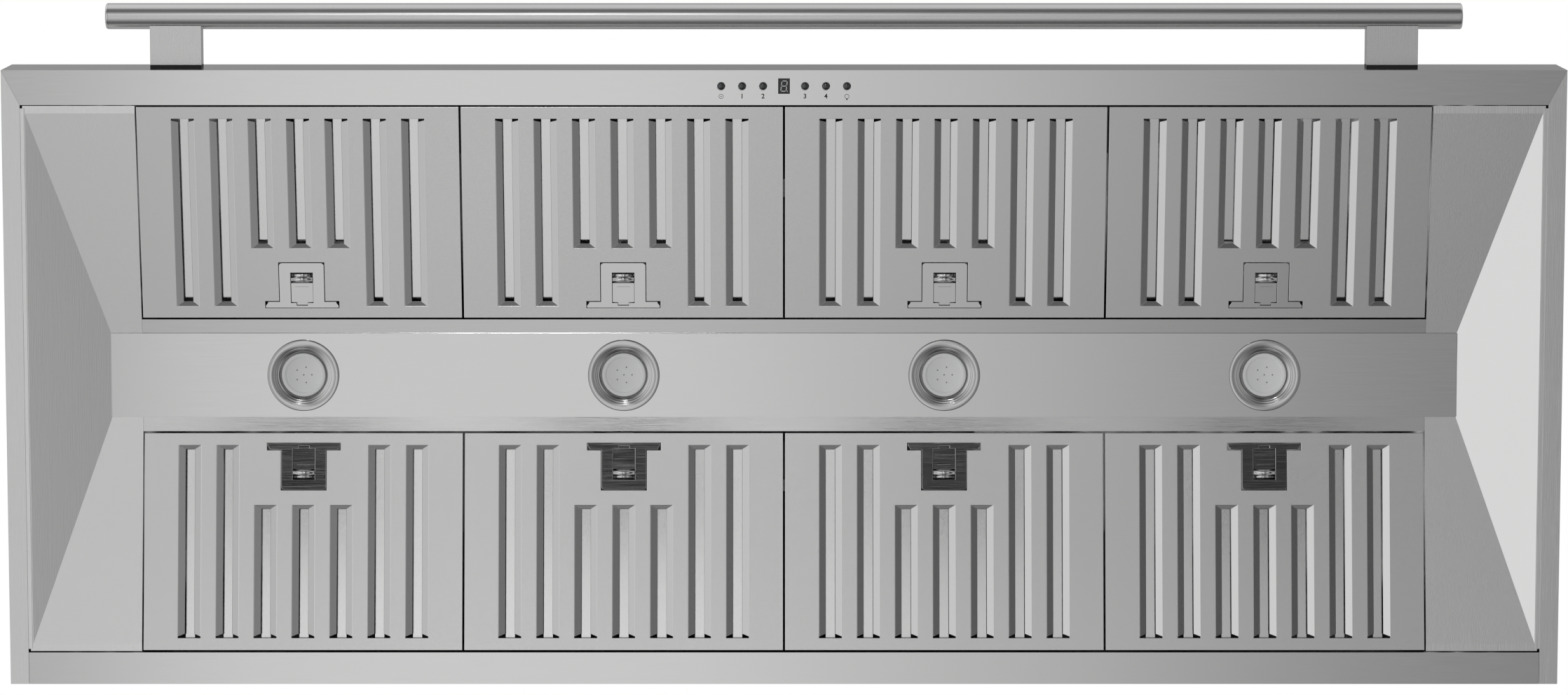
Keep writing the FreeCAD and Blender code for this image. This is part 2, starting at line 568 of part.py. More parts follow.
keep("lower_chimney", sleeve("lower_cover_sleeve", "chimney_length", "chimney_depth",
                             "lower_cover", CANOPY_TOP))
keep("upper_chimney", sleeve("upper_cover_sleeve", COVER_LENGTH, COVER_DEPTH, "upper_cover",
                             "-upper_cover"), level="0")

ceiling_sheet = box("ceiling_sheet", f"{COVER_LENGTH} - 2 * steel", f"{COVER_DEPTH} - 2 * steel",
                    "plate_steel", z="-plate_steel")
ceiling_cuts = [box("ceiling_duct_opening", "duct_opening", "duct_opening", "3 * plate_steel",
                    z="-2 * plate_steel"),
                cylinder("cable_opening", "cable_hole", "3 * plate_steel",
                         "bolt_spacing_x / 2", "0", "-2 * plate_steel")]
for side in "-+":
    for end in "-+":
        ceiling_cuts.append(cylinder(f"ceiling_bolt_{side}{end}", "bolt_hole",
                                     "3 * plate_steel", f"{side}1 * bolt_spacing_x / 2",
                                     f"{end}1 * bolt_spacing_y / 2", "-2 * plate_steel"))
keep("ceiling_plate", cut("ceiling_plate_cut", ceiling_sheet, *ceiling_cuts), level="0")


def corner_angles(name, reach_x, reach_y, length, level):
    """Four L-shaped uprights whose outer corners stand at reach_x and reach_y."""
    outside = box(name + "_outside", f"2 * {reach_x}", f"2 * {reach_y}", length, z=level)
    inside = box(name + "_inside", f"2 * ({reach_x} - angle_steel)",
                 f"2 * ({reach_y} - angle_steel)", f"{length} + 2", z=f"{level} - 1")
    across = box(name + "_across", f"2 * ({reach_x} - angle_leg)", f"2 * {reach_y} + 2",
                 f"{length} + 2", z=f"{level} - 1")
    along = box(name + "_along", f"2 * {reach_x} + 2", f"2 * ({reach_y} - angle_leg)",
                f"{length} + 2", z=f"{level} - 1")
    return cut(name, outside, inside, across, along)


def ring_band(name, reach_x, reach_y, width, height, level):
    """A flat rectangular ring whose outer edge stands at reach_x and reach_y."""
    return cut(name, box(name + "_outside", f"2 * {reach_x}", f"2 * {reach_y}", height, z=level),
               box(name + "_inside", f"2 * ({reach_x} - {width})",
                   f"2 * ({reach_y} - {width})", f"{height} + 2", z=f"{level} - 1"))


upper_angles = corner_angles("upper_angles", ANGLE_X, ANGLE_Y, "upper_angle",
                             "-plate_steel - upper_angle")
upper_band = ring_band("upper_band", f"({ANGLE_X} + angle_steel)", f"({ANGLE_Y} + angle_steel)",
                       "angle_steel", "frame_band", "-plate_steel - upper_angle")
keep("upper_frame", fuse("upper_frame_weld", upper_angles, upper_band), level="0")
INNER_X = f"({ANGLE_X} - {NESTING})"
INNER_Y = f"({ANGLE_Y} - {NESTING})"
lower_angles = corner_angles("lower_angles", INNER_X, INNER_Y, "lower_angle", CANOPY_TOP)
lower_band = ring_band("lower_band", f"({INNER_X} + angle_steel + gap)",
                       f"({INNER_Y} + angle_steel + gap)", "frame_band", "plate_steel",
                       CANOPY_TOP)
keep("lower_frame", cut("lower_frame_cut", fuse("lower_frame_weld", lower_angles, lower_band),
                        box("plenum_room", "plenum_length + 2 * gap", "plenum_depth + 2 * gap",
                            "4 * plate_steel", z=f"{CANOPY_TOP} - plate_steel")))
frame_screws = [cylinder(f"frame_screw_{side}{end}", "5", "3",
                         f"{side}1 * ({INNER_X} - frame_band / 2 - angle_steel)",
                         f"{end}1 * chimney_depth / 4", f"{CANOPY_TOP} + plate_steel")
                for side in "-+" for end in "-+"]
keep("screws", *post_screws, *frame_screws)

# Blowers: two scroll housings under a plate, each with a squirrel-cage impeller on the shaft
# of a motor that stands inside the wheel. Both blow up into the plenum below the duct collar.

OUTLET_TOP = f"({BLOWER_PLATE_TOP} - plate_steel)"
NEAR_SIDE = "(blower_offset - blower_width / 2)"


def scroll(name, radius, width, near, outlet_low, outlet_high, top):
    """A drum across X with a chimney-like outlet rising from one side of it."""
    drum = cylinder(name + "_drum", radius, width, near, "0", "blower_axis", "x")
    spout = box(name + "_spout", width, f"({outlet_high}) - ({outlet_low})",
                f"({top}) - blower_axis", near, outlet_low, "blower_axis", centred="")
    return fuse(name, drum, spout)


blower_shell = cut("blower_shell",
                   scroll("scroll_outside", "scroll_radius", "blower_width", NEAR_SIDE,
                          "outlet_inset", "scroll_radius", OUTLET_TOP),
                   scroll("scroll_inside", "scroll_radius - steel", "blower_width - 2 * steel",
                          f"{NEAR_SIDE} + steel", "outlet_inset + steel",
                          "scroll_radius - steel", f"{OUTLET_TOP} + steel"),
                   cylinder("scroll_inlets", "inlet_radius", "blower_width + 4",
                            f"{NEAR_SIDE} - 2", "0", "blower_axis", "x"))
keep("blower_housings", blower_shell,
     mirrored("blower_shell_mirror", blower_shell, FreeCAD.Vector(1, 0, 0)))

plate_cuts = [box(f"outlet_{side}", "blower_width - 2 * steel",
                  "scroll_radius - outlet_inset - 2 * steel", "3 * plate_steel",
                  f"{side}1 * blower_offset", "(scroll_radius + outlet_inset) / 2",
                  f"{OUTLET_TOP} - plate_steel") for side in "-+"]
blower_sheet = box("blower_sheet", "chimney_length - 3 * frame_band", "plenum_depth",
                   "plate_steel", z=OUTLET_TOP)
keep("blower_plate", cut("blower_plate_cut", blower_sheet, *plate_cuts))

FAR_SIDE = "(blower_offset + blower_width / 2)"
WHEEL_NEAR = "(blower_offset - wheel_width / 2)"
BORE = "(shaft_radius + shaft_play)"
motor_can = cylinder("motor_can", "motor_radius", "motor_length",
                     f"{FAR_SIDE} - motor_length", "0", "blower_axis", "x")
motor_arms = [box("motor_arm_level", "steel", "2 * inlet_radius + frame_band", "12",
                  FAR_SIDE, "0", "blower_axis", centred="yz"),
              box("motor_arm_upright", "steel", "12", "2 * inlet_radius + frame_band",
                  FAR_SIDE, "0", "blower_axis", centred="yz")]
motor = cut("motor_body", fuse("motor_frame", motor_can, *motor_arms),
            cylinder("motor_bore", BORE, "motor_length - 6", f"{FAR_SIDE} - motor_length - 1",
                     "0", "blower_axis", "x"))
keep("blower_motors", motor, mirrored("motor_mirror", motor, FreeCAD.Vector(1, 0, 0)))

BLADES = 24
WHEEL_RIM = "(wheel_radius - blade_depth)"
rim_rings = [cut(f"wheel_rim_{end}",
                 cylinder(f"wheel_rim_outside_{end}", "wheel_radius", "2", start, "0", "0", "x"),
                 cylinder(f"wheel_rim_inside_{end}", WHEEL_RIM, "4", f"{start} - 1", "0", "0",
                          "x"))
             for end, start in (("near", WHEEL_NEAR), ("far", f"{WHEEL_NEAR} + wheel_width - 2"))]
HUB_X = f"({FAR_SIDE} - motor_length - 6)"
wheel_hub = cylinder("wheel_hub", "wheel_radius - 1", "2", HUB_X, "0", "0", "x")
hub_boss = cylinder("hub_boss", "2 * shaft_radius", "10", f"{HUB_X} - 8", "0", "0", "x")
shaft = cylinder("wheel_shaft", "shaft_radius", "motor_length / 2 + 16", f"{HUB_X} - 8", "0",
                 "0", "x")
blades = []
for number in range(BLADES):
    blade = box(f"blade_sheet_{number}", "wheel_width - 2", "steel", "blade_depth - 1",
                f"{WHEEL_NEAR} + 1", "0", f"{WHEEL_RIM} + 0.5", centred="y")
    blades.append(group(f"blade_{number}", blade, turn=f"rotationx({number * 360 / BLADES})"))
wheel = fuse("impeller_wheel", *rim_rings, wheel_hub, hub_boss, shaft, *blades)
wheel_twin = mirrored("impeller_mirror", wheel, FreeCAD.Vector(1, 0, 0))
keep("impeller_right", wheel, level="blower_axis - total_height")
keep("impeller_left", wheel_twin, level="blower_axis - total_height")

# Duct collar: a plenum box on the canopy, folded from four walls and a flat top, with a round
# collar welded on it, and a bar and two stops inside that the damper flaps rest on.

plenum = box("plenum_block", "plenum_length", "plenum_depth", "plenum_height - steel",
             z=CANOPY_TOP)
plenum_hollow = box("plenum_hollow", "plenum_length - 2 * steel", "plenum_depth - 2 * steel",
                    "plenum_height + steel", z=f"{CANOPY_TOP} - steel")
keep("plenum_walls", cut("plenum_frame", plenum, plenum_hollow))
COLLAR_LEVEL = f"({CANOPY_TOP} + plenum_height)"
THROAT = "(collar_radius - steel)"
throat = cylinder("throat", THROAT, "collar_height + 4 * steel",
                  z=f"{COLLAR_LEVEL} - 2 * steel")
keep("plenum_top", cut("plenum_sheet",
                       box("plenum_lid", "plenum_length", "plenum_depth", "steel",
                           z=f"{COLLAR_LEVEL} - steel"), throat))
keep("duct_collar", cut("collar_tube",
                        cylinder("collar_outside", "collar_radius", "collar_height",
                                 z=COLLAR_LEVEL), throat))
FLAP_LEVEL = f"({COLLAR_LEVEL} + 14)"
flap_bar = common("flap_bar",
                  box("flap_bar_block", "6", "2 * collar_radius", "4",
                      z=f"{FLAP_LEVEL} - gap - 4"), throat)
flap_stops = [common(f"flap_stop{side}",
                     box(f"flap_stop_block{side}", "8", "8", "2",
                         f"{side}1 * (collar_radius - 4)", "0", f"{FLAP_LEVEL} - gap - 2"),
                     throat) for side in "-+"]
keep("flap_rests", flap_bar, *flap_stops)

flap_disc = cylinder("flap_disc", "collar_radius - steel - flap_gap", "steel")
right_half = box("flap_half", "collar_radius", "2 * collar_radius", "4 * steel", "flap_gap",
                 "0", "-steel", centred="y")
flap_right = common("flap_right_plate", flap_disc, right_half)
keep("damper_flap_right", flap_right, level=f"{FLAP_LEVEL} - total_height")
keep("damper_flap_left", mirrored("flap_left_plate", flap_right, FreeCAD.Vector(1, 0, 0)),
     level=f"{FLAP_LEVEL} - total_height")

# Junction box, hung from the blower plate behind the scrolls.

JUNCTION_Y = "(scroll_radius + 6)"
junction = cut("junction_case",
               box("junction_outside", "100", "40", "48", "0", JUNCTION_Y,
                   f"{OUTLET_TOP} - 48", centred="x"),
               box("junction_inside", "96", "36", "44", "0", f"{JUNCTION_Y} + 2",
                   f"{OUTLET_TOP} - 46", centred="x"))
keep("junction_box", junction)


def check_document():
    """Stop with a message if any object failed or any node's shape isn't sound."""
    doc.recompute()
    for obj in doc.Objects:
        if {"Invalid", "Error"} & set(obj.State):
            raise RuntimeError(f"{obj.Name} failed: {obj.State}")
    for node, obj in nodes.items():
        if obj.Shape.isNull() or not obj.Shape.isValid() or not obj.Shape.Solids:
            raise RuntimeError(f"{node} has no sound shape")


def write_nodes():
    """Write each node's shape to its own STEP file."""
    os.makedirs("parts", exist_ok=True)
    for node, obj in nodes.items():
        obj.Shape.exportStep(os.path.join("parts", node + ".step"))
    print(f"{len(nodes)} nodes written")


check_document()
write_nodes()
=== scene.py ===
import bmesh
import bpy
import json
import math
from mathutils import Matrix, Vector


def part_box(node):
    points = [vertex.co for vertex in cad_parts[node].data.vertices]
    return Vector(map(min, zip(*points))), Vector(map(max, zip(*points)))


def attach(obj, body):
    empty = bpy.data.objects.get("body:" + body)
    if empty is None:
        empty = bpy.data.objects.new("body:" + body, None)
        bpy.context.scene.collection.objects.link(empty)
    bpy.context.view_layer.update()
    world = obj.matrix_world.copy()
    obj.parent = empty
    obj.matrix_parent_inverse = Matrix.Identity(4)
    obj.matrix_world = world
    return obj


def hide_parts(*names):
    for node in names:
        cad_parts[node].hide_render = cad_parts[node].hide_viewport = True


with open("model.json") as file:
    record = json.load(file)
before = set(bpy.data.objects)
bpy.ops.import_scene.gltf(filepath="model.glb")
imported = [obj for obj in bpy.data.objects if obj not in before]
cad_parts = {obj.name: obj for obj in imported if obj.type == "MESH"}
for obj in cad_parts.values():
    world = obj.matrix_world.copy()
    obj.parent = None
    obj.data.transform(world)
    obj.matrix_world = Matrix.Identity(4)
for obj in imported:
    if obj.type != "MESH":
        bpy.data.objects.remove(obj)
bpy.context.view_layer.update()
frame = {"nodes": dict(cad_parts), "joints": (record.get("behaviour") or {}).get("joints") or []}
nodes = frame["nodes"]

# Ceiling plate and frame: zinc-plated steel, cut and folded, with the corner angles of one
# frame sliding in those of the other. Bolts hold the plate to the ceiling.


def clothe(material, *names):
    """Give CAD nodes a material."""
    for name in names:
        mesh = nodes[name].data
        mesh.materials.clear()
        mesh.materials.append(material)


def plated(name, tone, roughness, spangle=60):
    """Zinc plate or cast metal: a metal with cloudy crystals."""
    material = bpy.data.materials.new(name)
    material.use_nodes = True
    tree = material.node_tree
    shader = tree.nodes["Principled BSDF"]
    shader.inputs["Metallic"].default_value = 1
    shader.inputs["Roughness"].default_value = roughness
    place = tree.nodes.new("ShaderNodeTexCoord")
    crystals = tree.nodes.new("ShaderNodeTexVoronoi")
    crystals.inputs["Scale"].default_value = spangle
    colour = tree.nodes.new("ShaderNodeMixRGB")
    colour.inputs["Color1"].default_value = [tone * 0.85, tone * 0.87, tone * 0.9, 1]
    colour.inputs["Color2"].default_value = [tone, tone, tone, 1]
    tree.links.new(place.outputs["Object"], crystals.inputs["Vector"])
    tree.links.new(crystals.outputs["Distance"], colour.inputs["Fac"])
    tree.links.new(colour.outputs["Color"], shader.inputs["Base Color"])
    return material


zinc = plated("zinc_plate", 0.5, 0.42)
clothe(zinc, "ceiling_plate", "upper_frame", "lower_frame", "blower_housings", "blower_plate",
       "plenum_walls", "plenum_top", "duct_collar", "flap_rests", "junction_box",
       "light_housings", "screws")

# Chimney and canopy: folded and welded stainless sheet, with one chimney cover sliding in
# the other. Its straight brush strokes are fine lines in the gloss, over slow, faint clouds,
# and run up the chimney and along the canopy.


def brushed(name, stroke, tone=0.57, roughness=0.11, depth=0.5, fineness=2400, along=22):
    """Brushed metal whose strokes run along an axis: 0 for X, 1 for Y, 2 for Z."""
    material = bpy.data.materials.new(name)
    material.use_nodes = True
    tree = material.node_tree
    shader = tree.nodes["Principled BSDF"]
    shader.inputs["Metallic"].default_value = 1
    place = tree.nodes.new("ShaderNodeTexCoord")
    stretch = tree.nodes.new("ShaderNodeMapping")
    scale = [fineness] * 3
    scale[stroke] = along
    stretch.inputs["Scale"].default_value = scale
    strokes = tree.nodes.new("ShaderNodeTexNoise")
    strokes.inputs["Scale"].default_value = 1
    strokes.inputs["Detail"].default_value = 3
    clouds = tree.nodes.new("ShaderNodeTexNoise")
    clouds.inputs["Scale"].default_value = 3.5
    clouds.inputs["Detail"].default_value = 2
    gloss = tree.nodes.new("ShaderNodeMapRange")
    gloss.inputs["From Min"].default_value = 0.3
    gloss.inputs["From Max"].default_value = 0.7
    gloss.inputs["To Min"].default_value = roughness - 0.03
    gloss.inputs["To Max"].default_value = roughness + 0.04
    colour = tree.nodes.new("ShaderNodeMixRGB")
    colour.inputs["Color1"].default_value = [tone * 0.96, tone * 0.96, tone * 0.955, 1]
    colour.inputs["Color2"].default_value = [tone * 1.03, tone * 1.03, tone * 1.025, 1]
    blend = tree.nodes.new("ShaderNodeMath")
    blend.operation = "MULTIPLY_ADD"
    blend.inputs[1].default_value = 0.5
    bump = tree.nodes.new("ShaderNodeBump")
    bump.inputs["Strength"].default_value = depth
    bump.inputs["Distance"].default_value = 0.00004
    link = tree.links.new
    link(place.outputs["Object"], stretch.inputs["Vector"])
    link(stretch.outputs["Vector"], strokes.inputs["Vector"])
    link(place.outputs["Object"], clouds.inputs["Vector"])
    link(strokes.outputs["Fac"], gloss.inputs["Value"])
    link(gloss.outputs["Result"], shader.inputs["Roughness"])
    link(clouds.outputs["Fac"], blend.inputs[0])
    link(strokes.outputs["Fac"], blend.inputs[2])
    link(blend.outputs["Value"], colour.inputs["Fac"])
    link(colour.outputs["Color"], shader.inputs["Base Color"])
    link(strokes.outputs["Fac"], bump.inputs["Height"])
    link(bump.outputs["Normal"], shader.inputs["Normal"])
    return material


cover_steel = brushed("cover_steel", 0)
chimney_steel = brushed("chimney_steel", 2)
clothe(cover_steel, "canopy_shell")
clothe(chimney_steel, "upper_chimney", "lower_chimney")

# Blowers and dampers: two wheels of pressed aluminium pushed on the shafts of enamelled
# motors, and two flaps of the same sheet that lie on rests in the duct collar.

cast_metal = plated("pressed_aluminium", 0.62, 0.35, spangle=200)
clothe(cast_metal, "impeller_left", "impeller_right", "damper_flap_left",
       "damper_flap_right", "led_modules")


def moulded(name, colour, roughness, grain=0.15):
    """Paint, rubber or moulded plastic with a fine grain."""
    material = bpy.data.materials.new(name)
    material.use_nodes = True
    tree = material.node_tree
    shader = tree.nodes["Principled BSDF"]
    shader.inputs["Base Color"].default_value = (*colour, 1)
    place = tree.nodes.new("ShaderNodeTexCoord")
    grains = tree.nodes.new("ShaderNodeTexNoise")
    grains.inputs["Scale"].default_value = 1500
    gloss = tree.nodes.new("ShaderNodeMapRange")
    gloss.inputs["To Min"].default_value = roughness - 0.08
    gloss.inputs["To Max"].default_value = roughness + 0.08
    bump = tree.nodes.new("ShaderNodeBump")
    bump.inputs["Strength"].default_value = grain
    bump.inputs["Distance"].default_value = 0.00005
    tree.links.new(place.outputs["Object"], grains.inputs["Vector"])
    tree.links.new(grains.outputs["Fac"], gloss.inputs["Value"])
    tree.links.new(gloss.outputs["Result"], shader.inputs["Roughness"])
    tree.links.new(grains.outputs["Fac"], bump.inputs["Height"])
    tree.links.new(bump.outputs["Normal"], shader.inputs["Normal"])
    return material


clothe(moulded("motor_enamel", (0.02, 0.02, 0.022), 0.45), "blower_motors")

# Aprons: folded sheets with a flange under each. The front and rear ones are brushed along
# the hood and the side ones across it. The liners are brushed like the sides.

apron_steel = brushed("apron_steel", 0, tone=0.59)
side_steel = brushed("side_steel", 1, tone=0.66, roughness=0.2, depth=0.9)
liner_steel = brushed("liner_steel", 1, tone=0.7, roughness=0.2, depth=0.9)
clothe(apron_steel, "front_apron", "rear_apron", "front_filter_ledge", "rear_filter_ledge")
clothe(side_steel, "left_apron", "right_apron")
clothe(liner_steel, "left_liner", "right_liner")

# Light panel: a flat sheet along the ridge of the trough, held up to the ledges by a row of
# small spot welds beside each long edge.

panel_steel = brushed("panel_steel", 0, tone=0.56, roughness=0.1)
clothe(panel_steel, "light_panel")
panel_low, panel_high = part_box("light_panel")

# Lights: four turned rings, each round a clear lens over a milky disc with one small
# light-emitting chip in the middle and five round it. The ring twists to free the lens.


def finish_piece(shape, name, material, body, replaced=(), smooth=None):
    """Turn a bmesh into a piece that rides on a body and stands for CAD nodes."""
    mesh = bpy.data.meshes.new(name)
    shape.to_mesh(mesh)
    shape.free()
    mesh.materials.append(material)
    piece = bpy.data.objects.new(name, mesh)
    bpy.context.scene.collection.objects.link(piece)
    if smooth is not None:
        mesh.shade_smooth()
        mesh.set_sharp_from_angle(angle=math.radians(smooth))
    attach(piece, body)
    if replaced:
        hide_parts(*replaced)
    return piece


def block(shape, low, high):
    """Add a box between two corners."""
    low, high = Vector(low), Vector(high)
    size = high - low
    made = bmesh.ops.create_cube(shape, size=1)
    bmesh.ops.scale(shape, vec=size, verts=made["verts"])
    bmesh.ops.translate(shape, vec=(low + high) / 2, verts=made["verts"])
    return made["verts"]


def turned(shape, outline, centre, axis=(0, 0, 1), steps=64):
    """Spin an outline of (radius, height) pairs once round an axis through centre."""
    turn = Vector((0, 0, 1)).rotation_difference(Vector(axis)).to_matrix().to_4x4()
    stand = Matrix.Translation(Vector(centre)) @ turn
    points = [shape.verts.new((radius, 0, height)) for radius, height in outline]
    edges = [shape.edges.new(pair) for pair in zip(points, points[1:])]
    bmesh.ops.spin(shape, geom=points + edges, cent=(0, 0, 0), axis=(0, 0, 1),
                   angle=2 * math.pi, steps=steps, use_merge=True)
    fresh = [vert for vert in shape.verts if not vert.tag]
    bmesh.ops.remove_doubles(shape, verts=fresh, dist=1e-6)
    fresh = [vert for vert in shape.verts if not vert.tag]
    bmesh.ops.transform(shape, matrix=stand, verts=fresh)
    for vert in fresh:
        vert.tag = True


# The rings' steel is toned darker than the other steel: painted shade for the darker reflection
# band round each light.
ring_steel = brushed("ring_steel", 0, tone=0.5, roughness=0.13)
lens_rim = moulded("lens_rim", (0.62, 0.63, 0.64), 0.2, grain=0.02)
milky = moulded("milky_disc", (0.95, 0.955, 0.96), 0.3, grain=0.02)
chip_colour = moulded("light_chip", (0.25, 0.25, 0.22), 0.4)
CHIP_REACH = 0.008
CHIP_HALF = 0.0006
ring_outline = [(0.0354, 0.0003), (0.0354, 0.0013), (0.0351, 0.0019), (0.0346, 0.0024),
                (0.0340, 0.0025), (0.0282, 0.0025), (0.0279, 0.0023), (0.0278, 0.0020),
                (0.0277, 0.0017), (0.0274, 0.0016), (0.0263, 0.0016), (0.0260, 0.0014),
                (0.0259, 0.0010), (0.0257, -0.0014), (0.0240, -0.0018), (0.0237, -0.0021),
                (0.0222, -0.0027), (0.0220, -0.0030), (0.0220, -0.0042), (0.0272, -0.0024),
                (0.0292, -0.0024), (0.0292, -0.0090), (0.0302, -0.0090), (0.0302, 0.0003),
                (0.0354, 0.0003)]
lens_outline = [(0, -0.0030), (0.0168, -0.0030), (0.0173, -0.0027), (0.0178, -0.0020),
                (0.0186, -0.0014), (0.0200, -0.0013), (0.0212, -0.0015), (0.0216, -0.0021),
                (0.0216, -0.0042), (0, -0.0042)]
for number in range(1, 5):
    low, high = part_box(f"light_ring_{number}")
    centre = ((low.x + high.x) / 2, (low.y + high.y) / 2, panel_low.z)
    ring = bmesh.new()
    turned(ring, ring_outline, centre, axis=(0, 0, -1), steps=96)
    finish_piece(ring, f"twist_ring_{number}", ring_steel, f"light_ring_{number}",
                 [f"light_ring_{number}"], smooth=35)
    lens = bmesh.new()
    turned(lens, lens_outline, centre, axis=(0, 0, -1), steps=72)
    finish_piece(lens, f"lens_{number}", milky, "hood",
                 ["light_lenses"] if number == 1 else [], smooth=40)
    chips = bmesh.new()
    spots = [centre[:2]]
    for step in range(5):
        turn = step * math.tau / 5
        spots.append((centre[0] + CHIP_REACH * math.cos(turn),
                      centre[1] + CHIP_REACH * math.sin(turn)))
    for spot in spots:
        block(chips, (spot[0] - CHIP_HALF, spot[1] - CHIP_HALF, panel_low.z + 0.0029),
              (spot[0] + CHIP_HALF, spot[1] + CHIP_HALF, panel_low.z + 0.0031))
    finish_piece(chips, f"light_chips_{number}", chip_colour, "hood")

# Filters: each is a tray pressed from one sheet with seven channels. A channel's two walls
# lean in to a narrow gap, its latch end is closed by a leaning wall, and its rim end is
# sheared open. A second sheet behind the gaps carries a strip for each channel.

SHEET = 0.0009
FILTER = (0.314, 0.2148)
DEPTH = 0.014
PITCH = 0.0374
CHANNEL = 0.0112
GAP = 0.0045
PRESS = 0.0034
START = 0.013
END_WALL = 0.0042
LENGTHS = {3: 0.190, 2: 0.190, 1: 0.131, 0: 0.131}
LIP = 0.0038
STRIP_LEVEL = 0.0112
TEE_STEM = 0.022
TEE_BASE = 0.0358
TEE_LENGTH = 0.0455
TEE_FOOT = 0.006
TEE_GAP = 0.0006
LATCH_Y = 0.1841
PLATE_END = FILTER[1] - 0.0104
filter_steel = brushed("filter_steel", 0, tone=0.64, roughness=0.2, depth=0.35, fineness=1500,
                       along=500)
baffle_steel = brushed("baffle_steel", 1, tone=0.7, roughness=0.13, depth=0.1)


def cut_across(shape, axis, values):
    """Cut every face with planes square to an axis."""
    normal = [0, 0, 0]
    normal[axis] = 1
    for value in values:
        spot = [0, 0, 0]
        spot[axis] = value
        bmesh.ops.bisect_plane(shape, geom=shape.verts[:] + shape.edges[:] + shape.faces[:],
                               plane_co=spot, plane_no=normal, dist=1e-7)


def pressed_face():
    """The tray's face at z = 0, hinge edge along y = 0, with its seven channels pressed in."""
    shape = bmesh.new()
    bmesh.ops.create_grid(shape, x_segments=1, y_segments=1, size=0.5)
    bmesh.ops.scale(shape, vec=(FILTER[0], FILTER[1], 1), verts=shape.verts)
    bmesh.ops.translate(shape, vec=(0, FILTER[1] / 2, 0), verts=shape.verts)
    centres = [step * PITCH for step in range(-3, 4)]
    cut_across(shape, 0, sorted({round(c + side * reach, 6) for c in centres
                                 for side in (-1, 1) for reach in (CHANNEL, GAP)}))
    ends = sorted(set(LENGTHS.values()))
    cut_across(shape, 1, sorted([START, START + LIP]
                                + [START + e - back for e in ends
                                   for back in (0, END_WALL)]))
    stem_edge, base_edge = TEE_STEM + TEE_GAP, TEE_BASE + TEE_GAP
    stem_end, base_end = PLATE_END - TEE_LENGTH - TEE_GAP, PLATE_END - TEE_FOOT - TEE_GAP
    cut_across(shape, 0, (-base_edge, -stem_edge, stem_edge, base_edge))
    cut_across(shape, 1, (stem_end, base_end, PLATE_END + TEE_GAP))
    doomed = []
    for face in shape.faces:
        spot = face.calc_center_median()
        stem = abs(spot.x) < stem_edge and stem_end < spot.y < PLATE_END
        base = abs(spot.x) < base_edge and base_end < spot.y < PLATE_END + TEE_GAP
        if stem or base:
            doomed.append(face)
            continue
        for step, c in zip(range(-3, 4), centres):
            end = START + LENGTHS[abs(step)]
            across = abs(spot.x - c)
            if across < CHANNEL and START < spot.y < START + LIP:
                doomed.append(face)
            elif across < GAP and START < spot.y < end - END_WALL:
                doomed.append(face)
    bmesh.ops.delete(shape, geom=list(set(doomed)), context="FACES")
    for vert in shape.verts:
        for step, c in zip(range(-3, 4), centres):
            end = START + LENGTHS[abs(step)]
            across = abs(vert.co.x - c)
            if across < GAP + 1e-5 and START + 0.001 < vert.co.y < end - END_WALL + 1e-5:
                vert.co.z = PRESS
            elif across < CHANNEL + 1e-5 and abs(vert.co.y - START - LIP) < 1e-5:
                vert.co.y = START + 0.0014
        if vert.co.y < 1e-6:
            vert.co.y = 0.001
    for step, c in zip(range(-3, 4), centres):
        end = START + LENGTHS[abs(step)]
        for side in (-1, 1):
            fold = [vert for vert in shape.verts for x, y in
                    ((c + side * GAP, end - END_WALL), (c + side * CHANNEL, end))
                    if abs(vert.co.x - x) < 1e-5 and abs(vert.co.y - y) < 1e-5]
            bmesh.ops.connect_verts(shape, verts=fold)
    return shape


def face_with_skirt(shape):
    """Turn the tray's rim up into its four walls."""
    rim = [edge for edge in shape.edges if edge.is_boundary
           and all(abs(abs(v.co.x) - FILTER[0] / 2) < 1e-6 for v in edge.verts)
           or edge.is_boundary and all(v.co.y < 0.0011 for v in edge.verts)
           or edge.is_boundary and all(v.co.y > FILTER[1] - 1e-6 for v in edge.verts)]
    made = bmesh.ops.extrude_edge_only(shape, edges=rim)
    lifted = [item for item in made["geom"] if isinstance(item, bmesh.types.BMVert)]
    bmesh.ops.translate(shape, vec=(0, 0, DEPTH), verts=lifted)
    bmesh.ops.recalc_face_normals(shape, faces=shape.faces)
    return shape


def give_thickness(piece, thickness, radius, offset=-1):
    """A sheet's thickness and the small radius of its folds, as live modifiers."""
    wall = piece.modifiers.new("sheet_thickness", "SOLIDIFY")
    wall.thickness = thickness
    wall.offset = offset
    fold = piece.modifiers.new("fold_radius", "BEVEL")
    fold.width = radius
    fold.segments = 2
    fold.limit_method = "ANGLE"
    fold.angle_limit = math.radians(24)
    fold.profile = 0.5


def strips():
    """The second sheet: one strip behind each channel, joined by bars at both ends."""
    shape = bmesh.new()
    for step in range(-3, 4):
        end = START + LENGTHS[abs(step)] - END_WALL
        c = step * PITCH
        block(shape, (c - GAP, 0.002, STRIP_LEVEL), (c + GAP, end, STRIP_LEVEL + SHEET))
    for low, high in ((0.002, 0.0125), (FILTER[1] - 0.0045, FILTER[1] - 0.0015)):
        block(shape, (-FILTER[0] / 2 + 0.002, low, STRIP_LEVEL + SHEET),
              (FILTER[0] / 2 - 0.002, high, STRIP_LEVEL + 2 * SHEET))
    return shape


# Latches: a T-shaped plate of bright steel lies in the filter's face. A slider behind its
# window carries the bolt and ends in a rolled scoop that a finger pulls.

polished = brushed("latch_steel", 0, tone=0.6, roughness=0.05, depth=0.02)
WINDOW_X = 0.011
WINDOW_Y = 0.0155
NOTCH_X = 0.0054
NOTCH_END = 0.0181
FILTER_TILT = math.radians(9.3)


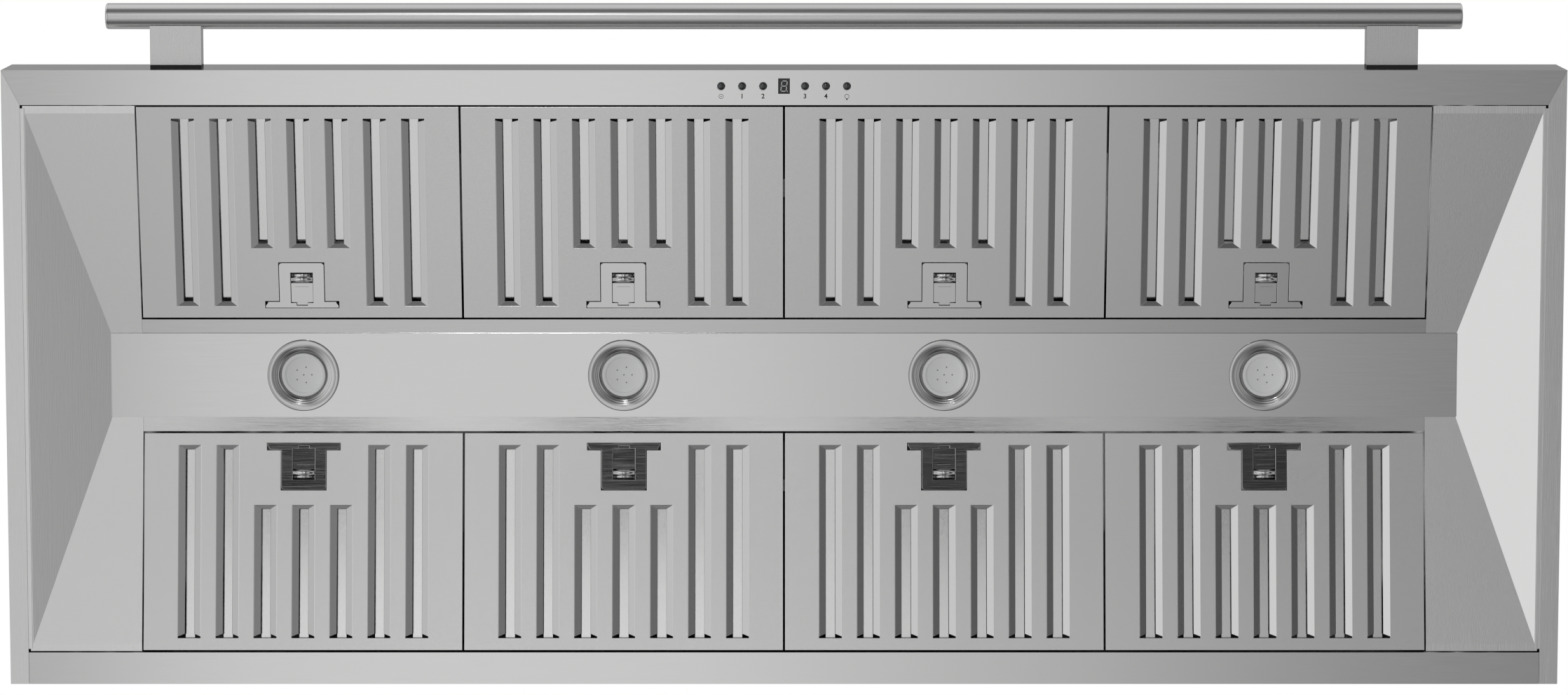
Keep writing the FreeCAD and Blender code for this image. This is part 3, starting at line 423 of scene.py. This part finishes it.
def tee_plate():
    """The latch's face plate: rounded stem, slanted base, and a window with a tab notch."""
    shape = bmesh.new()
    bmesh.ops.create_grid(shape, x_segments=1, y_segments=1, size=0.5)
    bmesh.ops.scale(shape, vec=(2 * TEE_BASE, TEE_LENGTH, 1), verts=shape.verts)
    bmesh.ops.translate(shape, vec=(0, PLATE_END - TEE_LENGTH / 2, -0.0003),
                        verts=shape.verts)
    cut_across(shape, 0, (-TEE_STEM, -WINDOW_X, -NOTCH_X, NOTCH_X, WINDOW_X, TEE_STEM))
    cut_across(shape, 1, (PLATE_END - TEE_FOOT, LATCH_Y - WINDOW_Y, LATCH_Y + WINDOW_Y,
                          LATCH_Y + NOTCH_END))
    doomed = []
    for face in shape.faces:
        spot = face.calc_center_median()
        beside = abs(spot.x) > TEE_STEM and spot.y < PLATE_END - TEE_FOOT
        window = abs(spot.x) < WINDOW_X and abs(spot.y - LATCH_Y) < WINDOW_Y
        notch = abs(spot.x) < NOTCH_X and LATCH_Y < spot.y < LATCH_Y + NOTCH_END
        if beside or window or notch:
            doomed.append(face)
    bmesh.ops.delete(shape, geom=doomed, context="FACES")
    for vert in shape.verts:
        if abs(vert.co.x) > 0.03 and vert.co.y < PLATE_END - 0.003:
            vert.co.x *= 0.94
    corners = [vert for vert in shape.verts if abs(abs(vert.co.x) - TEE_STEM) < 1e-6
               and vert.co.y < PLATE_END - 0.04]
    bmesh.ops.bevel(shape, geom=corners, offset=0.0028, segments=5, affect="VERTICES",
                    profile=0.5, material=-1)
    return shape


def slider():
    """The slider: a flat plate with an embossed line and its bolt; its rolled scoop is drawn by
    scoop_roll.
    """
    shape = bmesh.new()
    level = 0.0013
    scoop = LATCH_Y - WINDOW_Y + 0.0110
    block(shape, (-0.0108, scoop, level), (0.0108, LATCH_Y + 0.0153, level + 0.0010))
    block(shape, (-0.0052, LATCH_Y + 0.0150, level), (0.0052, LATCH_Y + 0.0178, level + 0.0010))
    block(shape, (-0.009, LATCH_Y + 0.0153, level + 0.0002),
          (0.009, FILTER[1] + 0.0005, level + 0.0012))
    block(shape, (-0.0065, LATCH_Y - 0.0010, level - 0.0003),
          (0.0065, LATCH_Y - 0.0003, level + 0.0001))
    return shape


def scoop_roll():
    """The slider's scoop: it stays under the plate's edge, then rolls out and back again."""
    shape = bmesh.new()
    start = LATCH_Y - WINDOW_Y + 0.0014
    profile = ((0, 4.5), (0.1, 1.6), (1.0, 1.2), (2.0, 0.95), (2.8, 0.72), (3.6, -0.1),
               (4.5, -0.8), (5.5, -1.15), (6.5, -1.05), (7.5, -0.4), (8.3, 0.6), (9.2, 1.5))
    points = [shape.verts.new((-0.0105, start + y / 1000, z / 1000)) for y, z in profile]
    edges = [shape.edges.new(pair) for pair in zip(points, points[1:])]
    made = bmesh.ops.extrude_edge_only(shape, edges=edges)
    moved = [item for item in made["geom"] if isinstance(item, bmesh.types.BMVert)]
    bmesh.ops.translate(shape, vec=(0.021, 0, 0), verts=moved)
    bmesh.ops.recalc_face_normals(shape, faces=shape.faces)
    return shape


def seat(shape, node, front):
    """Tilt and turn a shape drawn at the filter's hinge edge into the filter's place."""
    hinge = next(joint for joint in frame["joints"] if joint["name"] == node + "_swing")
    spot = Matrix.Translation(Vector(hinge["pos_m"]))
    heading = Matrix.Rotation(0 if front else math.pi, 4, "Z")
    bmesh.ops.transform(shape, matrix=spot @ heading @ Matrix.Rotation(FILTER_TILT, 4, "X"),
                        verts=shape.verts)
    return shape


for bank in ("front", "rear"):
    for number in range(1, 5):
        node = f"filter_{bank}_{number}"
        front = bank == "front"
        face = finish_piece(seat(face_with_skirt(pressed_face()), node, front),
                            f"{node}_face", filter_steel, node, [node])
        give_thickness(face, SHEET, 0.0005)
        finish_piece(seat(strips(), node, front), f"{node}_strips", baffle_steel, node)
        plate = finish_piece(seat(tee_plate(), node, front), f"{node}_latch_plate", polished,
                             node)
        give_thickness(plate, 0.0006, 0.00028, offset=0)
        latch = f"latch_{bank}_{number}"
        bar = finish_piece(seat(slider(), node, front), f"{latch}_slider", polished, latch,
                           [latch])
        rounding = bar.modifiers.new("edge_radius", "BEVEL")
        rounding.width = 0.0002
        rounding.segments = 2
        lip = finish_piece(seat(scoop_roll(), node, front), f"{latch}_scoop", polished, latch,
                           smooth=60)
        roll = lip.modifiers.new("sheet_thickness", "SOLIDIFY")
        roll.thickness = 0.0006
        roll.offset = 0

# Controls: six chromed push buttons with domed heads, a dark display between them and a
# printed mark under each.

chrome = plated("chrome_plate", 0.8, 0.08, spangle=5)
# The caps are chrome, but their tone is set almost black: painted dark reflection of dark
# surroundings, not the chrome's own colour.
chrome_with_painted_dark_reflection = plated("button_cap_painted_dark_reflection", 0.1, 0.12, spangle=5)
BUTTONS = ("button_power", "button_speed_1", "button_speed_2", "button_speed_3",
           "button_speed_4", "button_light")
CAP_RADIUS = 0.0035
COLLAR_RADIUS = 0.00415
flange_low, flange_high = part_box("front_apron")
cap_outline = [(0, 0.0019)]
for step in range(1, 10):
    turn = math.radians(10 * step)
    cap_outline.append((CAP_RADIUS * math.sin(turn), 0.0005 + 0.0014 * math.cos(turn)))
cap_outline += [(CAP_RADIUS, -0.001)]
collar_outline = [(CAP_RADIUS, 0.0002), (0.0037, 0.0007), (0.0039, 0.0006),
                  (COLLAR_RADIUS, 0.0002), (COLLAR_RADIUS, -0.0015), (0.0056, -0.0015),
                  (0.0056, -0.0027), (0, -0.0027)]
for name in BUTTONS:
    low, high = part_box(name)
    centre = ((low.x + high.x) / 2, (low.y + high.y) / 2, flange_low.z)
    cap = bmesh.new()
    turned(cap, cap_outline, centre, axis=(0, 0, -1), steps=40)
    finish_piece(cap, name + "_cap", chrome_with_painted_dark_reflection, name, smooth=40)
    collar = bmesh.new()
    turned(collar, collar_outline, centre, axis=(0, 0, -1), steps=40)
    finish_piece(collar, name + "_collar", chrome, name, [name], smooth=40)

clothe(moulded("control_case", (0.02, 0.02, 0.02), 0.5), "control_housing")
clothe(moulded("circuit_green", (0.02, 0.14, 0.06), 0.4), "control_board")
clothe(moulded("display_glass", (0.012, 0.012, 0.014), 0.12, grain=0), "display_window")
mark_ink = moulded("mark_ink", (0.01, 0.01, 0.01), 0.5)
segment_light = moulded("segment_light", (0.72, 0.74, 0.74), 0.4)

pane_low, pane_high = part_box("display_window")
pane = (pane_low + pane_high) / 2
digit = bmesh.new()
SLANT = 0.12
BAR = 0.0009


def bar_between(shape, start, end):
    """One bar of the figure on the display, from start to end across the pane."""
    start, end = Vector(start), Vector(end)
    along = (end - start).normalized()
    across = Vector((-along.y, along.x)) * BAR / 2
    corners = [start + across, end + across, end - across, start - across]
    level = pane_low.z - 0.00005
    made = [shape.verts.new((pane.x + c.x - c.y * SLANT, pane.y + c.y, level)) for c in corners]
    shape.faces.new(made)


WIDE, TALL = 0.0026, 0.0050
for y in (-TALL, 0, TALL):
    bar_between(digit, (-WIDE + 0.0006, y), (WIDE - 0.0006, y))
for x in (-WIDE, WIDE):
    for y in (-TALL, 0):
        bar_between(digit, (x, y + 0.0006), (x, y + TALL - 0.0006))
bar_between(digit, (WIDE + 0.0011, TALL - BAR / 2), (WIDE + 0.0011, TALL + BAR / 2))
bmesh.ops.recalc_face_normals(digit, faces=digit.faces)
finish_piece(digit, "display_figure", segment_light, "hood")

MARKS = {"button_speed_1": "1", "button_speed_2": "2", "button_speed_3": "3",
         "button_speed_4": "4"}
MARK_DROP = 0.010
for name, text in MARKS.items():
    low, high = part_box(name)
    curve = bpy.data.curves.new(name + "_mark_text", "FONT")
    curve.body = text
    curve.size = 0.0066
    curve.offset = 0.00012
    curve.align_x = "CENTER"
    curve.align_y = "CENTER"
    letter = bpy.data.objects.new(name + "_letter", curve)
    bpy.context.scene.collection.objects.link(letter)
    bpy.context.view_layer.update()
    flat = bpy.data.meshes.new_from_object(letter)
    bpy.data.objects.remove(letter)
    shape = bmesh.new()
    shape.from_mesh(flat)
    turn = Matrix.Rotation(math.pi, 4, "X")
    spot = Matrix.Translation(((low.x + high.x) / 2, (low.y + high.y) / 2 + MARK_DROP,
                               flange_low.z - 0.00005))
    bmesh.ops.transform(shape, matrix=spot @ turn, verts=shape.verts)
    finish_piece(shape, name + "_mark", mark_ink, "hood")

for name, inner in (("button_power", 0.0005), ("button_light", 0.0)):
    low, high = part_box(name)
    centre = ((low.x + high.x) / 2, (low.y + high.y) / 2 + MARK_DROP, flange_low.z)
    sign = bmesh.new()
    turned(sign, [(0.0019, 0.0), (0.0019, 0.0001), (0.0023, 0.0001), (0.0023, 0.0)], centre,
           axis=(0, 0, -1), steps=28)
    if inner:
        turned(sign, [(0, 0.0001), (inner, 0.0001), (inner, 0)], centre, axis=(0, 0, -1),
               steps=16)
    else:
        block(sign, (centre[0] - 0.0008, centre[1] + 0.0024, centre[2] - 0.0001),
              (centre[0] + 0.0008, centre[1] + 0.0034, centre[2]))
    finish_piece(sign, name + "_mark", mark_ink, "hood")

# Rail: a straight brushed tube with rounded end caps on two square posts, each standing on a
# thin near-black piece.

rail_steel = brushed("rail_steel", 0, tone=0.62, roughness=0.24)
post_steel = brushed("post_steel", 1, tone=0.62, roughness=0.26)
clothe(post_steel, "handrail_posts")
# The thin pieces under the posts are coloured near black.
clothe(moulded("post_foot_black", (0.012, 0.012, 0.012), 0.6), "handrail_gaskets")
tube_low, tube_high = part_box("handrail_tube")
RAIL = (tube_high.z - tube_low.z) / 2
length = tube_high.x - tube_low.x
CAP = 0.002
tube = bmesh.new()
outline = [(0, 0), (RAIL - CAP, 0)]
for step in range(1, 7):
    turn = math.radians(15 * step)
    outline.append((RAIL - CAP + CAP * math.sin(turn), CAP - CAP * math.cos(turn)))
outline += [(RAIL, CAP + 0.0004), (RAIL - 0.0002, CAP + 0.0006), (RAIL, CAP + 0.0008)]
outline += [(radius, length - height) for radius, height in reversed(outline)]
turned(tube, outline, (tube_low.x, (tube_low.y + tube_high.y) / 2,
                       (tube_low.z + tube_high.z) / 2), axis=(1, 0, 0), steps=72)
finish_piece(tube, "rail_tube", rail_steel, "hood", ["handrail_tube"],
             smooth=35)

# Studio: a pale floor far below the hood, a soft white room that is brighter on one side,
# and four small dark flags beside the camera, which the polished latch plates mirror.

floor_shape = bmesh.new()
bmesh.ops.create_grid(floor_shape, x_segments=1, y_segments=1, size=400)
bmesh.ops.translate(floor_shape, vec=(0, 0, -14), verts=floor_shape.verts)
floor_mesh = bpy.data.meshes.new("floor")
floor_shape.to_mesh(floor_mesh)
floor_shape.free()
floor = bpy.data.objects.new("floor", floor_mesh)
floor.visible_glossy = False
floor.visible_diffuse = False
bpy.context.scene.collection.objects.link(floor)
floor_mesh.materials.append(moulded("floor_paint", (0.86, 0.86, 0.86), 0.7, grain=0))

world = bpy.data.worlds.new("studio")
bpy.context.scene.world = world
world.use_nodes = True
tree = world.node_tree
room = tree.nodes["Background"]
direction = tree.nodes.new("ShaderNodeTexCoord")
split = tree.nodes.new("ShaderNodeSeparateXYZ")
tree.links.new(direction.outputs["Generated"], split.inputs["Vector"])


def sum_of(kind, *values, clamp=False):
    """A math node of the room's light; each input is a socket or a number."""
    node = tree.nodes.new("ShaderNodeMath")
    node.operation = kind
    node.use_clamp = clamp
    for socket, value in zip(node.inputs, values):
        if isinstance(value, (int, float)):
            socket.default_value = value
        else:
            tree.links.new(value, socket)
    return node.outputs["Value"]


def ramp_of(value, stops):
    """A smooth brightness curve over a value between 0 and 1."""
    node = tree.nodes.new("ShaderNodeValToRGB")
    node.color_ramp.interpolation = "CARDINAL"
    marks = node.color_ramp.elements
    while len(marks) < len(stops):
        marks.new(0.5)
    for mark, (place, level) in zip(marks, stops):
        mark.position = place
        mark.color = (level, level, level, 1)
    tree.links.new(value, node.inputs["Fac"])
    return node.outputs["Color"]


sideways = sum_of("MULTIPLY_ADD", split.outputs["X"], 0.5, 0.5)
along = sum_of("MULTIPLY_ADD", split.outputs["Y"], 0.5, 0.5)
side_light = ramp_of(sideways, [(0.0, 0.4), (0.1, 0.85), (0.2, 1.3), (0.33, 0.8), (0.43, 0.66),
                                (0.47, 1.85), (0.495, 1.0), (0.525, 0.72), (0.565, 0.38),
                                (0.66, 0.35), (0.8, 0.6), (0.9, 0.15), (1.0, 0.1)])
back_light = ramp_of(along, [(0.0, 0.25), (0.2, 0.3), (0.34, 0.9), (0.43, 1.75), (0.5, 1.25),
                             (0.6, 1.05), (0.714, 0.78), (0.84, 0.3), (1.0, 0.15)])
light_path = tree.nodes.new("ShaderNodeLightPath")
level = sum_of("MULTIPLY", side_light, back_light)
high = sum_of("MULTIPLY_ADD", split.outputs["Z"], 4.0, 1.6, clamp=True)
walls = ramp_of(sideways, [(0.0, 0.55), (0.25, 1.15), (0.5, 0.8), (0.75, 0.95), (1.0, 0.5)])
lower = sum_of("MULTIPLY", level, sum_of("SUBTRACT", 1.0, high))
overhead = sum_of("MULTIPLY_ADD", split.outputs["Z"], -1.3, 1.65, clamp=True)
upper = sum_of("MULTIPLY", sum_of("MULTIPLY", walls, high), overhead)
level = sum_of("ADD", lower, upper)
sight = sum_of("MAXIMUM", level, light_path.outputs["Is Camera Ray"])
tree.links.new(sight, room.inputs["Strength"])
room.inputs["Color"].default_value = (1, 1, 1, 1)

DISTANCE = 5.0
SHIFT = 0.06
WIDTH = 1.531
target = Vector((0, -0.032 - SHIFT * WIDTH, flange_low.z))
camera_data = bpy.data.cameras.new("camera")
camera = bpy.data.objects.new("camera", camera_data)
bpy.context.scene.collection.objects.link(camera)
camera.location = Vector((0, -0.303 - 0.0763 * DISTANCE, flange_low.z - DISTANCE))
back = (camera.location - target).normalized()
right = Vector((1, 0, 0))
upward = back.cross(right)
camera.matrix_world = Matrix.Translation(camera.location) @ Matrix(
    (right, upward, back)).transposed().to_4x4()
camera_data.sensor_width = 36
camera_data.lens = 36 * (camera.location - target).length / WIDTH
camera_data.shift_y = -SHIFT
camera_data.clip_end = 1000
bpy.context.scene.camera = camera
bpy.context.scene.view_settings.view_transform = "Standard"

lamp_data = bpy.data.lights.new("soft_lamp", "AREA")
lamp_data.size = 0.25
lamp_data.energy = 6
lamp = bpy.data.objects.new("soft_lamp", lamp_data)
lamp.location = (-0.5, -2.3, -5.4)
lamp.rotation_euler = (Vector((0, 0, flange_low.z)) - lamp.location).to_track_quat(
    "-Z", "Y").to_euler()
bpy.context.scene.collection.objects.link(lamp)

flag_shape = bmesh.new()
for number in range(1, 5):
    low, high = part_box(f"filter_rear_{number}")
    spot = Vector((low.x + high.x, -0.77, camera.location.z))
    block(flag_shape, spot - Vector((0.14, 0.13, 0.001)), spot + Vector((0.14, 0.13, 0.001)))
flag_mesh = bpy.data.meshes.new("dark_flags")
flag_shape.to_mesh(flag_mesh)
flag_shape.free()
flags = bpy.data.objects.new("dark_flags", flag_mesh)
flags.visible_camera = False
flags.visible_diffuse = False
flags.visible_shadow = False
bpy.context.scene.collection.objects.link(flags)
flag_mesh.materials.append(moulded("flag_cloth", (0.03, 0.03, 0.03), 0.8))
